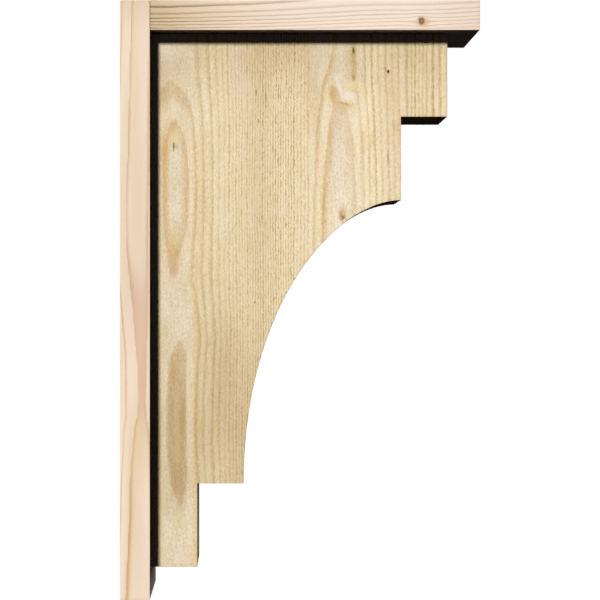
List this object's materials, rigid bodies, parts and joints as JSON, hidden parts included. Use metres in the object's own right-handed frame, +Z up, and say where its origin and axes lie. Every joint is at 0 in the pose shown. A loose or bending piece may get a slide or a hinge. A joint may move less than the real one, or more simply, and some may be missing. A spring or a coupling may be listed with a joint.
{
  "type": "wooden corbel bracket",
  "caption": "Wooden bracket for an eave, beam or shelf: a thick sawn corbel with square steps and a deep concave scoop, under a flat top plate and against a taller back plate.",
  "frame": {"origin": "centre of the back plate's rear face, which lies flat on the wall", "axes": "+X out from the wall, +Z up along the back plate, Y across the bracket's width; the bracket is symmetric about the plane Y = 0"},
  "size_m": [0.4572, 0.1524, 0.762],
  "materials": {
    "planed_pine": "planed pale pink pine with brown growth lines, bare",
    "rough_sawn_fir": "rough-sawn straw-coloured fir with raised grain, bare"
  },
  "bodies": {
    "root": {"back_plate": "planed_pine", "top_plate": "planed_pine", "corbel": "rough_sawn_fir"}
  },
  "joints": []
}
